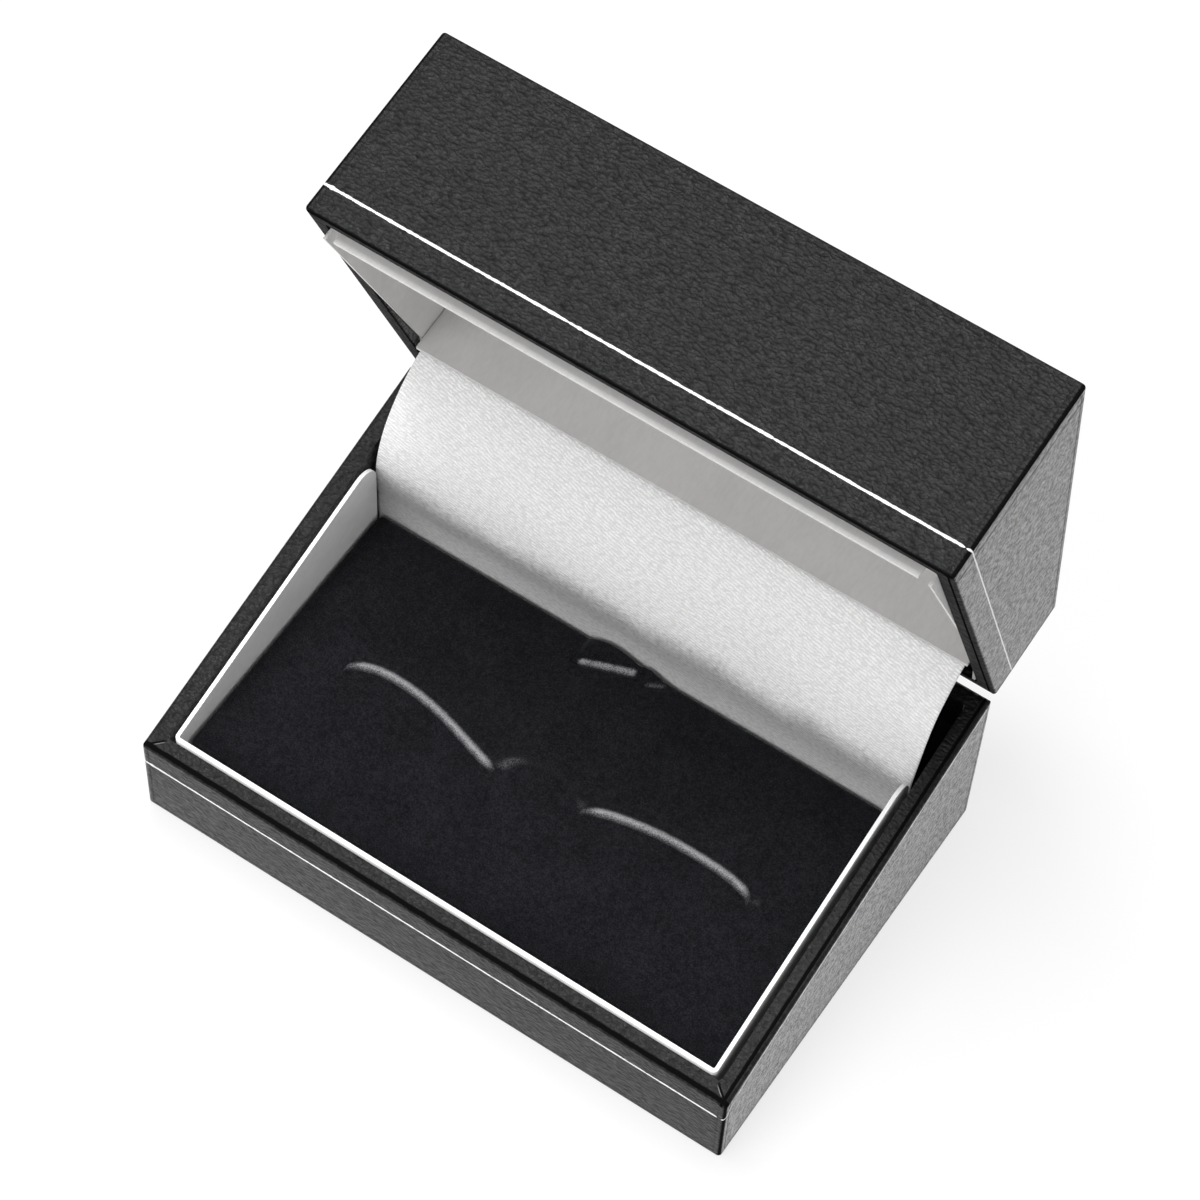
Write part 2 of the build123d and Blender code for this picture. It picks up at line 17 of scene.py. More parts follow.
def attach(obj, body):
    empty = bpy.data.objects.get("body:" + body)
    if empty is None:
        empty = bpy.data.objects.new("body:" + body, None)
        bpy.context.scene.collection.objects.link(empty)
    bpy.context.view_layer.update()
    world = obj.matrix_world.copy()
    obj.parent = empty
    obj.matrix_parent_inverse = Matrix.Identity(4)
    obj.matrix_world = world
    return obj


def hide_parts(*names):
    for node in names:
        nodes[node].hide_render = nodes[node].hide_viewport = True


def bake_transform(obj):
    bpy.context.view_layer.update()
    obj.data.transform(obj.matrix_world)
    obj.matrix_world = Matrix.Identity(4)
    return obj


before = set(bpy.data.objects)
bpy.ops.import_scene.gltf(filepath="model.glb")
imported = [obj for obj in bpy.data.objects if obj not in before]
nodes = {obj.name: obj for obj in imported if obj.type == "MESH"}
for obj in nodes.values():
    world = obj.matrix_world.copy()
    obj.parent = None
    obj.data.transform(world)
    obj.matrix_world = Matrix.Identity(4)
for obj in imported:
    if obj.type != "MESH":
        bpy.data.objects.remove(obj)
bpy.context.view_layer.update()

print("nodes from the CAD model:", len(nodes))

# %% Sizes shared with the CAD model, in metres
mm = 0.001
box_width, box_depth, box_height = 85.0 * mm, 57.5 * mm, 42.2 * mm
front_rim, back_rim = 14.4 * mm, 27.9 * mm
half_width, half_depth = box_width / 2, box_depth / 2
rim_slope = (back_rim - front_rim) / box_depth
split_gap = 0.2 * mm
hinge_below_rim = 0.5 * mm
pivot_y, pivot_z = half_depth, back_rim - hinge_below_rim
open_angle = math.radians(82.3)


def rim_height(y):
    """Height of the sloping split between the halves: a straight line in y."""
    return front_rim + (y + half_depth) * rim_slope


def opened(points):
    """Points of the closed lid, turned about the hinge line by the opening angle."""
    points = np.asarray(points, float)
    dy, dz = points[..., 1] - pivot_y, points[..., 2] - pivot_z
    turned_y = pivot_y + dy * math.cos(open_angle) + dz * math.sin(open_angle)
    turned_z = pivot_z - dy * math.sin(open_angle) + dz * math.cos(open_angle)
    return np.stack([points[..., 0], turned_y, turned_z], axis=-1)


print("rim slope in degrees:", round(math.degrees(math.atan(rim_slope)), 2))

# %% [markdown]
# ## Meshes from grids
# Every new surface is a grid: rows of points worked out as whole arrays, so one helper serves
# the ribbons, the sheet and the top of the pad.


# %% Grid helper
def mesh_from(name, points, quads):
    """A mesh object from an array of points and an array of four-cornered faces."""
    mesh = bpy.data.meshes.new(name)
    mesh.from_pydata(points.reshape(-1, 3).tolist(), [], quads.tolist())
    mesh.shade_smooth()
    mesh.validate()
    piece = bpy.data.objects.new(name, mesh)
    bpy.context.scene.collection.objects.link(piece)
    return piece


def grid_quads(rows, columns):
    """Faces between neighbouring rows and columns."""
    i = np.arange(rows - 1)[:, None]
    j = np.arange(columns - 1)[None, :]
    k = j + 1
    corners = [i * columns + j, i * columns + k, (i + 1) * columns + k, (i + 1) * columns + j]
    return np.stack(np.broadcast_arrays(*corners), axis=-1).reshape(-1, 4)


def smooth_step(value, low, high):
    """0 below low, 1 above high and 3t^2 - 2t^3 between."""
    t = np.clip((value - low) / (high - low), 0, 1)
    return t * t * (3 - 2 * t)


def bell(value, width):
    """The bump exp(-(value / width)^2)."""
    return np.exp(-((value / width) ** 2))


# %% [markdown]
# ## Shader arithmetic
# A finish such as pebbled leatherette is a sum of patterns. Written as Python sums it stays
# readable, so a small class wraps a socket and adds a Math node for each operator.


# %% Socket arithmetic and the material builder
class Pattern:
    """One number that varies over a surface. Its operators add Math nodes."""

    def __init__(self, finish, socket):
        self.finish = finish
        self.socket = socket

    def math(self, operation, first, second=0.0, third=0.0):
        values = {0: first, 1: second, 2: third}
        return self.finish.add("ShaderNodeMath", {"operation": operation}, values)

    def __add__(self, other):
        return self.math("ADD", self, other)

    def __radd__(self, other):
        return self.math("ADD", other, self)

    def __sub__(self, other):
        return self.math("SUBTRACT", self, other)

    def __rsub__(self, other):
        return self.math("SUBTRACT", other, self)

    def __mul__(self, other):
        return self.math("MULTIPLY", self, other)

    def __rmul__(self, other):
        return self.math("MULTIPLY", other, self)

    def absolute(self):
        return self.math("ABSOLUTE", self)

    def sine(self):
        return self.math("SINE", self)

    def least(self, other):
        return self.math("MINIMUM", self, other)

    def most(self, other):
        return self.math("MAXIMUM", self, other)

    def step(self, low, high):
        """A smooth step from 0 at low to 1 at high."""
        settings = {"interpolation_type": "SMOOTHSTEP"}
        values = {"Value": self, "From Min": low, "From Max": high}
        return self.finish.add("ShaderNodeMapRange", settings, values)


class Finish:
    """A material being built round one Principled shader."""

    def __init__(self, name, **uniform):
        self.material = bpy.data.materials.new(name)
        self.material.use_nodes = True
        self.tree = self.material.node_tree
        self.shader = self.tree.nodes["Principled BSDF"]
        for socket, value in uniform.items():
            self.shader.inputs[socket.replace("_", " ")].default_value = value
        place = self.tree.nodes.new("ShaderNodeTexCoord")
        self.place = Pattern(self, place.outputs["Object"])
        self.cloth = Pattern(self, place.outputs["UV"])

    def add(self, kind, settings, values, output=0):
        """Adds one node: its settings first, then the values or links of its sockets."""
        node = self.tree.nodes.new(kind)
        for key, value in settings.items():
            setattr(node, key, value)
        for key, value in values.items():
            if isinstance(value, Pattern):
                self.tree.links.new(value.socket, node.inputs[key])
            else:
                node.inputs[key].default_value = value
        return Pattern(self, node.outputs[output])

    def noise(self, size, detail=2.0, roughness=0.5, at=None):
        """Cloudy noise whose blobs are about size metres across."""
        values = {
            "Vector": at or self.place, "Scale": 1 / size, "Detail": detail,
            "Roughness": roughness,
        }
        return self.add("ShaderNodeTexNoise", {}, values)

    def cells(self, size, at, smoothness):
        """Distance to the nearest of scattered points, about size metres apart."""
        values = {"Vector": at, "Scale": 1 / size, "Smoothness": smoothness}
        return self.add("ShaderNodeTexVoronoi", {"feature": "SMOOTH_F1"}, values)

    def axis(self, name, of=None):
        """One coordinate of the place, in metres."""
        output = {"x": 0, "y": 1, "z": 2}[name]
        return self.add("ShaderNodeSeparateXYZ", {}, {"Vector": of or self.place}, output)

    def moved(self, shift=(0, 0, 0), turn=(0, 0, 0), scale=(1, 1, 1), of=None):
        """The place after a Mapping node, for a pattern in a piece's own directions."""
        values = {"Vector": of or self.place, "Location": shift, "Rotation": turn, "Scale": scale}
        return self.add("ShaderNodeMapping", {}, values)

    def blend(self, share, low, high):
        """A colour between two colours."""
        values = {0: share, 6: low, 7: high}
        return self.add("ShaderNodeMix", {"data_type": "RGBA"}, values, 2)

    def feed(self, **patterns):
        for socket, pattern in patterns.items():
            self.tree.links.new(pattern.socket, self.shader.inputs[socket.replace("_", " ")])

    def relief(self, height, depth, strength=1.0):
        """Bumps the shading by a pattern whose full range is depth metres high."""
        values = {"Height": height, "Distance": depth, "Strength": strength}
        self.feed(Normal=self.add("ShaderNodeBump", {}, values))


def grey(level, warm=0.0):
    return (level * (1 + warm), level, level * (1 - warm), 1.0)


def dress(finish, *names):
    """Puts a finish on CAD nodes, without touching their meshes."""
    for name in names:
        mesh = nodes[name].data
        mesh.materials.clear()
        mesh.materials.append(finish.material)


# %% [markdown]
# ## Leatherette
# The covering is embossed paper or vinyl: pebbles about half a millimetre across, longer
# one way than the other, run together by soft wrinkles. It is glued down tight, with a faint
# crease beside each folded edge. The folded edges, the creases and the lid's rim are painted
# near black as shade, and faces seen at a slant are painted paler as a sheen. Cells give the
# pebbles, noise bends them, and the distance to the nearest edge of the box, measured in the
# closed lid's directions on the lid, gives the painted edge shade.


# %% Leatherette finish
def box_edges(finish, at, top):
    """Distances to the nearest upright corner and to the nearest edge of the top or underside."""
    side = half_width - finish.axis("x", at).absolute()
    front = finish.axis("y", at) + half_depth
    back = half_depth - finish.axis("y", at)
    end = (finish.axis("z", at) - top).absolute()
    wall = front.least(back)
    upright = side.most(wall)
    level = side.least(wall).most(end)
    return upright, level


def rim_folds(finish, at, on_rim):
    """Creases inside the rim's front and right edges and the fold at each front corner, painted dark as
    shade, and a pale tick beside each fold.
    """
    side = half_width - finish.axis("x", at).absolute()
    front = finish.axis("y", at) + half_depth
    waver = finish.noise(1.6 * mm, 3, 0.6, at) - 0.5
    along_side = 1 - (side - 0.74 * mm + waver * (0.16 * mm)).absolute().step(0.13 * mm, 0.28 * mm)
    along_side = along_side * finish.axis("x", at).step(0.0, 1.0 * mm)
    along_front = 1 - (front - 0.44 * mm + waver * (0.2 * mm)).absolute().step(0.22 * mm, 0.4 * mm)
    near_corner = 1 - side.most(front).step(2.0 * mm, 2.6 * mm)
    mitre = 1 - (side - front * 1.2 + waver * (0.5 * mm)).absolute().step(0.06 * mm, 0.22 * mm)
    tick = 1 - (side - front * 1.2 - 0.3 * mm + waver * (0.3 * mm)).absolute().step(0.03 * mm, 0.1 * mm)
    dark = along_side.most(along_front).most(mitre * near_corner) * on_rim
    return dark, tick * near_corner * front.step(0.7 * mm, 1.0 * mm) * on_rim


pebble_size = 0.5 * mm
ripple_size = 0.75 * mm


def leatherette(name, at_turn, at_shift, top, on_lid, depth, pale):
    finish = Finish(name, IOR=1.5, Specular_IOR_Level=0.2)
    at = finish.moved(at_shift, (at_turn, 0, 0))
    wobble = finish.add("ShaderNodeVectorMath", {"operation": "SCALE"}, {
        0: finish.add("ShaderNodeTexNoise", {}, {"Vector": at, "Scale": 1100.0, "Detail": 2.0}, 1),
        "Scale": 0.45 * mm,
    })
    bent = finish.add("ShaderNodeVectorMath", {"operation": "ADD"}, {0: at, 1: wobble})
    long_way = finish.moved((0, 0, 0), (0.2, 0.3, 0.5), (0.75, 1.2, 1.2), bent)
    pebbles = finish.cells(pebble_size, at=long_way, smoothness=0.45)
    ripples = finish.noise(ripple_size, 2, 0.55, long_way)
    fine = finish.noise(0.17 * mm, 2, 0.6, at)
    cloud = finish.noise(6 * mm, 2, 0.5, at)
    upright, level = box_edges(finish, at, top)
    edge = upright.least(level)
    # Thin near-black lines along the box's edges, wider on the lid's upright corners: painted shade.
    corner_width = (0.24 + 0.12 * on_lid) * mm
    upright_edge_shade = 1 - upright.step(corner_width, corner_width + 0.2 * mm)
    edge_shade = upright_edge_shade.most(1 - level.step(0.1 * mm, 0.4 * mm))
    beside = (edge - 0.95 * mm).absolute().step(0.0, 0.2 * mm)
    above_rim = finish.axis("z", at) - (finish.axis("y", at) + half_depth) * rim_slope - front_rim
    on_rim = 1 - above_rim.absolute().step(0.35 * mm, 0.65 * mm)
    fold, tick = rim_folds(finish, at, on_rim)
    side = half_width - finish.axis("x", at).absolute()
    front = finish.axis("y", at) + half_depth
    seam = 1 - (front - 3.0 * mm + (cloud - 0.5) * (0.5 * mm)).absolute().step(0.1 * mm, 0.55 * mm)
    seam = seam * (1 - side.step(0.02 * mm, 0.1 * mm)) * on_lid
    height = (1 - pebbles) * 0.8 + ripples * 0.7 + fine * 0.16 + beside * 0.15 + seam * 0.9 - fold * 0.6
    finish.relief(height, depth, 1.0)
    # The pebble valleys are painted darker: painted shade.
    shade = (pebbles * 0.5 + fine * 0.35 + (1 - ripples) * 0.5).step(0.25, 1.0)
    colour = finish.blend(shade, grey(pale, -0.01), grey(0.003))
    # Faces seen at a slant are painted paler, a painted sheen, matched to the grey sides in the
    # photograph.
    slant = finish.add("ShaderNodeLayerWeight", {}, {"Blend": 0.5}, 1).step(0.6, 0.8)
    sheen_speckle = (ripples * 0.45 + fine * 0.55).step(0.38, 0.62)
    painted_sheen = finish.blend(sheen_speckle, grey(0.1), grey(0.48))
    colour = finish.blend(slant, colour, painted_sheen)
    colour = finish.blend(seam * 0.55, colour, grey(0.02))
    # A dark line along the crease beside each edge: painted shade.
    colour = finish.blend((beside * 0.5).step(0.0, 0.5), grey(0.008), colour)
    colour = finish.blend(tick * 0.6, colour, grey(0.3))
    finish.feed(Base_Color=colour, Roughness=0.32 + shade * 0.16 + cloud * 0.08)
    # The edge lines, the rim creases and folds and the lid's rim are painted near black by mixing in a
    # dark diffuse shader: painted shade.
    shade_shader = finish.add("ShaderNodeBsdfDiffuse", {}, {"Color": grey(0.004)})
    black = (edge_shade * 0.92).most(on_rim * on_lid * (0.75 + fine * 0.25)).most(fold)
    shared = finish.add("ShaderNodeMixShader", {}, {
        0: black, 1: Pattern(finish, finish.shader.outputs[0]), 2: shade_shader,
    })
    finish.tree.links.new(shared.socket, finish.tree.nodes["Material Output"].inputs["Surface"])
    return finish


base_leatherette = leatherette("base_leatherette", 0.0, (0, 0, 0), 0.0, 0.0, 0.18 * mm, 0.012)
# Point of the closed lid = turned place + shift, the inverse of the opening turn.
turn_back = open_angle
shift_y = pivot_y - (pivot_y * math.cos(turn_back) - pivot_z * math.sin(turn_back))
shift_z = pivot_z - (pivot_y * math.sin(turn_back) + pivot_z * math.cos(turn_back))
lid_leatherette = leatherette(
    "lid_leatherette", turn_back, (0, shift_y, shift_z), box_height, 1.0, 0.32 * mm, 0.024
)
dress(base_leatherette, "base_wrap")
dress(lid_leatherette, "lid_wrap")
print("leatherette pebbles per centimetre:", round(10 * mm / pebble_size, 1))

# %% [markdown]
# ## Fine white line
# A foil line about a third of a millimetre wide runs round the front and both sides of each
# half. Its edges wander where the foil bridges the grain. It is a narrow domed ribbon carried
# along a path that hugs the box, with its width and height changed by seeded noise. On the
# base's sides the ribbon thins to a broken thread near the rim's edge: a painted highlight.


# %% The white lines
def wall_path(step, corner):
    """Points and outward directions round the right side, front and left side, with arcs."""
    back_end = half_depth - 1.1 * mm
    side_run = np.arange(back_end, -half_depth + corner, -step)
    right = np.stack([np.full_like(side_run, half_width), side_run], -1)
    right_out = np.tile([1.0, 0.0], (len(side_run), 1))
    turn = np.linspace(0, -math.pi / 2, 8)
    arc_out = np.stack([np.cos(turn), np.sin(turn)], -1)
    arc = arc_out * corner + [half_width - corner, -half_depth + corner]
    front_run = np.arange(half_width - corner, 0, -step)
    front = np.stack([front_run, np.full_like(front_run, -half_depth)], -1)
    front_out = np.tile([0.0, -1.0], (len(front_run), 1))
    place = np.concatenate([right, arc, front])
    out = np.concatenate([right_out, arc_out, front_out])
    mirror = np.array([-1.0, 1.0])
    return np.concatenate([place, place[::-1] * mirror]), np.concatenate([out, out[::-1] * mirror])


def wander_noise(random, count, reach):
    """Seeded noise along a line, smoothed over reach steps."""
    return np.convolve(random.normal(size=count + reach - 1), np.ones(reach) / reach, "valid")


def foil_line(name, rise, seed, sides_as_edge_highlight):
    """
    A domed ribbon whose width w(s) and relief h(s) wander with smoothed seeded noise. It pinches
    just before the right front corner, more on the base. On the base's sides it strays up
    towards the rim, as in the photograph, and thins to a broken thread, a painted highlight of
    the rim's edge: its drop is d0 + d1 exp(-s / r), s measured from the corner.
    """
    place, out = wall_path(0.16 * mm, 0.5 * mm)
    count = len(place)
    random = np.random.default_rng(seed)
    wander = wander_noise(random, count, 9)
    edge_noise = wander_noise(random, count, 3)
    gaps = smooth_step(wander_noise(random, count, 3), 1.0, 1.4)
    side = np.abs(out[:, 0])
    width = (0.42 + 0.08 * edge_noise) * mm * (1 - 0.45 * gaps)
    corner_pinch = bell(place[:, 0] - 41.7 * mm, 0.36 * mm) * (1 - side) * (1.0 if sides_as_edge_highlight else 0.6)
    knot = bell(place[:, 0] + 41.2 * mm, 0.22 * mm) * (1 - side) * 0.35 * mm
    drop = np.full(count, rise)
    # On the base's sides the line is a painted highlight of the rim's edge.
    if sides_as_edge_highlight:
        from_corner = np.clip(place[:, 1] + half_depth, 0, None)
        drop = rise * side * np.exp(-from_corner / (1.5 * mm)) + rise * (1 - side)
        drop = drop - 0.85 * mm * side * (1 - np.exp(-from_corner / (1.5 * mm)))
        breaks = smooth_step(wander_noise(random, count, 7) + 0.1 * wander, -0.25, 0.15)
        width = width * (1 - side) + side * (0.1 + 0.2 * breaks) * mm
    else:
        width = width * (1 - 0.35 * side)
    width = (width + knot) * (1 - 0.97 * corner_pinch)
    relief = (0.075 + 0.02 * wander) * mm * (1 - 0.97 * corner_pinch)
    across = np.linspace(-1, 1, 7)
    dome = np.sqrt(np.clip(1 - across**2, 0, 1))
    offset = relief[:, None] * dome[None, :] - 0.03 * mm
    x = place[:, None, 0] + out[:, None, 0] * offset
    y = place[:, None, 1] + out[:, None, 1] * offset
    centre = rim_height(place[:, 1]) + drop + 0.03 * mm * wander
    z = centre[:, None] + across[None, :] * width[:, None] / 2 + 0 * x
    points = np.stack([x, y, z], -1)
    quads = grid_quads(count, len(across))
    print(name, "steps along the line:", count)
    return points, quads


def make_line(name, rise, seed, body, node, lid):
    points, quads = foil_line(name, rise, seed, sides_as_edge_highlight=not lid)
    line = mesh_from(name, opened(points) if lid else points, quads)
    line.data.materials.append(foil.material)
    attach(line, body)
    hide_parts(node)
    return line


foil = Finish("white_foil", Specular_IOR_Level=0.5)
speckle = foil.noise(0.25 * mm, 3, 0.7)
foil.feed(
    Base_Color=foil.blend(speckle.step(0.3, 0.75), grey(0.95), grey(0.72)),
    Roughness=0.35 + speckle * 0.3,
)
foil.relief(speckle, 0.03 * mm, 0.6)
line_to_rim = 3.75 * mm
foil_thickness = 0.03 * mm
below_rim = line_to_rim / math.cos(math.atan(rim_slope))
base_line = make_line("base_white_line", -below_rim, 11, "base", "base_trim_line", False)
lid_line = make_line("lid_white_line", below_rim + split_gap, 12, "lid", "lid_trim_line", True)
for line in (base_line, lid_line):
    skin = line.modifiers.new("thickness", "SOLIDIFY")
    skin.thickness = foil_thickness
    skin.offset = -1.0

# %% [markdown]
# ## White card
# The collar round the pad and the lining of the lid are coated card: almost smooth, with
# faint fibres and a matt sheen. The lining is a slightly warmer, greyer card. The lid's top
# panel and the hinge cover wear a darker tone of the lining card: painted shade.


# %% Card finishes
def card(name, light, dark, warm, roughness):
    finish = Finish(name, IOR=1.45)
    fibres = finish.noise(0.5 * mm, 4, 0.65, finish.moved(scale=(1, 0.35, 0.35)))
    tooth = finish.noise(0.12 * mm, 2, 0.5)
    cloud = finish.noise(9 * mm, 2, 0.5)
    mark = (fibres * 0.6 + cloud * 0.4).step(0.3, 0.75)
    finish.feed(
        Base_Color=finish.blend(mark, grey(light, warm), grey(dark, warm)),
        Roughness=roughness + tooth * 0.12,
    )
    finish.relief(fibres * 0.5 + tooth * 0.5, 0.03 * mm, 0.5)
    return finish


white_card = card("white_card", 0.9, 0.82, 0.0, 0.5)
lining_card = card("lining_card", 0.7, 0.62, 0.01, 0.6)
# A darker tone of the same card, a painted shade, chosen to match the panel in the photograph.
shaded_panel_card = card("shaded_panel_card", 0.58, 0.51, 0.012, 0.6)
grey_board = card("grey_board", 0.36, 0.26, 0.03, 0.8)
dress(white_card, "base_collar")
dress(lining_card, "lid_lining_walls")
dress(shaded_panel_card, "lid_lining_top", "lid_hinge_cover")
dress(grey_board, "pad_riser", "satin_angle", "pad_board")

# %% [markdown]
# ## Shell, underside and hinge
# The moulded shell shows only in the hinge gap, the underside wears a black paper sheet, and
# the hinge is nickelled steel with the fine scratches of rolling.

# %% Hidden and small pieces
plastic = Finish("moulded_shell", IOR=1.46)
grain = plastic.noise(0.3 * mm, 3, 0.6)
plastic.feed(
    Base_Color=plastic.blend(grain, grey(0.03), grey(0.018)), Roughness=0.45 + grain * 0.2
)
plastic.relief(grain, 0.02 * mm, 0.5)
dress(plastic, "base_shell", "lid_shell")

base_paper = Finish("base_paper", IOR=1.45)
weave = base_paper.noise(0.35 * mm, 4, 0.6)
base_paper.feed(
    Base_Color=base_paper.blend(weave, grey(0.03), grey(0.016)), Roughness=0.7 + weave * 0.2
)
base_paper.relief(weave, 0.05 * mm, 0.7)
dress(base_paper, "base_bottom_sheet")

steel = Finish("nickelled_steel", Metallic=1.0)
scratches = steel.noise(0.25 * mm, 4, 0.7, steel.moved(scale=(0.08, 1, 1)))
steel.feed(
    Base_Color=steel.blend(scratches, grey(0.62, 0.01), grey(0.45, 0.02)),
    Roughness=0.22 + scratches * 0.25,
)
steel.relief(scratches, 0.01 * mm, 0.5)
dress(
    steel, "hinge_base_leaf", "hinge_lid_leaf", "hinge_base_rivets", "hinge_lid_rivets", "hinge_pin"
)

# %% [markdown]
# ## Flocked pad
# The pad is foam under a flocked sheet. Two curved slits hold the cufflinks' bars: the cut
# edges stand up as soft rolls, and the light they catch is painted into the flock as a paler
# grey. A faint half-round swell joins them in the middle, and at the back a half-moon tab lifts
# for a thumb; the swell, the tab's lip and two small spots carry the same painted highlight.
# The top is a height field on a grid whose lines crowd together where the slits are, and the
# skirt is the grid's outline carried down round the board, so the whole pad is one closed,
# slightly crowned form.

# %% Pad sizes
pad_top = 13.0 * mm
pad_low = 7.8 * mm
board_top = 9.0 * mm
pad_half_width = 38.55 * mm
pad_front, pad_back = -24.65 * mm, 15.88 * mm
pad_corner = 1.0 * mm
pad_edge_round = 0.5 * mm
skirt_wall = 0.42 * mm


# %% Where the slits run
def left_slit(x):
    """Rise R sin(pi t^0.65) over the straight line between the left slit's ends."""
    t = np.clip((x / mm + 29.0) / 23.4, 0, 1)
    line = -4.9 + (-6.4 + 4.9) * t
    return (line + 2.75 * np.sin(np.pi * t**0.65)) * mm, t


def right_slit(x):
    """Half an ellipse, R sqrt(1 - (2t - 1)^2), over the line between the right slit's ends."""
    t = np.clip((x / mm - 6.4) / 23.4, 0, 1)
    line = -5.3 + (-3.9 + 5.3) * t
    return (line + 2.5 * np.sqrt(np.clip(1 - (2 * t - 1) ** 2, 0, 1))) * mm, t


def slit_relief(x, y, slit):
    """Height and painted highlight of one slit: a soft raised roll with a narrow groove at its foot."""
    middle, t = slit(x)
    near, _ = slit(x + 0.2 * mm)
    slope = np.clip((near - middle) / (0.2 * mm), -1.5, 1.5)
    ragged = 0.02 * np.sin(x / (0.33 * mm)) + 0.03 * np.sin(x / (1.7 * mm) + 1.3)
    away = (y - middle) / np.sqrt(1 + slope**2) + ragged * mm
    taper = smooth_step(t, -0.02, 0.1) * (1 - smooth_step(t, 0.93, 1.0))
    plump = 0.6 + 0.4 * taper + 1.2 * ragged
    away = away + 0.22 * mm
    roll = bell(away, 0.42 * mm) * 0.45
    lower = bell(away + 0.9 * mm, 0.3 * mm) * 0.15
    groove = bell(away + 0.55 * mm, 0.14 * mm) * 0.5
    height = (roll + lower - groove) * taper * plump * mm
    pile_highlight = np.clip(bell(away - 0.02 * mm, 0.5 * mm) * 1.1, 0, 1) * (0.35 + 0.65 * taper) * plump
    outside = (t <= 0) | (t >= 1)
    return np.where(outside, 0, height), np.where(outside, 0, pile_highlight)


def tab_relief(x, y):
    """
    The half-moon tab. Its front lip follows straight runs l(x); behind the lip the flocked sheet
    stands up by L (1 - (x / r)^2)^0.7, rising to its full height at the pad's back edge.
    """
    lip_x = np.array([-7.0, -5.8, 1.3, 1.7, 2.8, 5.3, 6.4]) * mm
    lip_y = np.array([12.0, 12.1, 14.7, 14.1, 13.8, 15.2, 15.8]) * mm
    lip = np.interp(x, lip_x, lip_y)
    moon = np.clip(1 - ((x + 0.2 * mm) / (6.3 * mm)) ** 2, 0, 1) ** 0.7
    behind = y - lip
    lift = (0.35 + 1.9 * smooth_step(behind, 0.0, 3.0 * mm)) * mm
    lift = lift * (1 - 0.75 * bell(x - 2.2 * mm, 0.7 * mm) * (1 - smooth_step(y, 15.0 * mm, 15.8 * mm)))
    height = smooth_step(behind, -0.12 * mm, 0.3 * mm) * lift * moon
    cut = bell(behind + 0.3 * mm, 0.22 * mm) * np.where(x < 1.3 * mm, 0.45, 0.12) * mm * (moon > 0.05)
    # Along the tab's front lip the flock is paled by painted highlight, strongest on the left part.
    bright = smooth_step(x, -6.1 * mm, -5.3 * mm) * (1 - smooth_step(x, 0.8 * mm, 1.5 * mm))
    faint = 0.35 * smooth_step(x, 2.6 * mm, 3.4 * mm) * (1 - smooth_step(x, 4.8 * mm, 5.6 * mm))
    patchy_glint = 0.85 + 0.15 * np.sin(x / (0.31 * mm)) * np.sin(x / (0.83 * mm) + 0.7)
    pile_highlight = bell(behind - 0.12 * mm, 0.34 * mm) * (bright * patchy_glint + faint)
    return height - cut, pile_highlight


def swell_relief(x, y):
    """A faint half-round ridge between the slits' inner ends, with a tick beside the left one; the
    second value is painted highlight, with two pale spots.
    """
    across, along = (x - 0.6 * mm) / (6.0 * mm), (y + 6.6 * mm) / (3.9 * mm)
    away = (np.hypot(across, along) - 1) * 4.5 * mm
    upper = smooth_step(y, -6.6 * mm, -5.6 * mm)
    ridge = bell(away, 0.75 * mm) * upper
    tick = ridge * bell(x + 4.6 * mm, 1.4 * mm)
    pale_spot = bell(np.hypot(x - 30.6 * mm, y + 3.6 * mm), 0.7 * mm)
    knot = bell(np.hypot(x - 6.3 * mm, y + 4.4 * mm), 0.9 * mm)
    return ridge * 0.12 * mm, ridge * 0.1 + tick * 0.22 + pale_spot * 0.22 + knot * 0.12


# %% Build the pad cover
def crowded(low, high, fine_bands, coarse, fine):
    """Grid lines from low to high: fine steps inside the bands and near both ends."""
    lines = [low]
    bands = [(low, low + 1.2 * mm), (high - 1.2 * mm, high), *fine_bands]
    while lines[-1] < high:
        here = lines[-1]
        inside = any(a - 1e-9 <= here < b for a, b in bands)
        lines.append(here + (fine if inside else coarse))
    lines[-1] = high
    return np.array(lines)


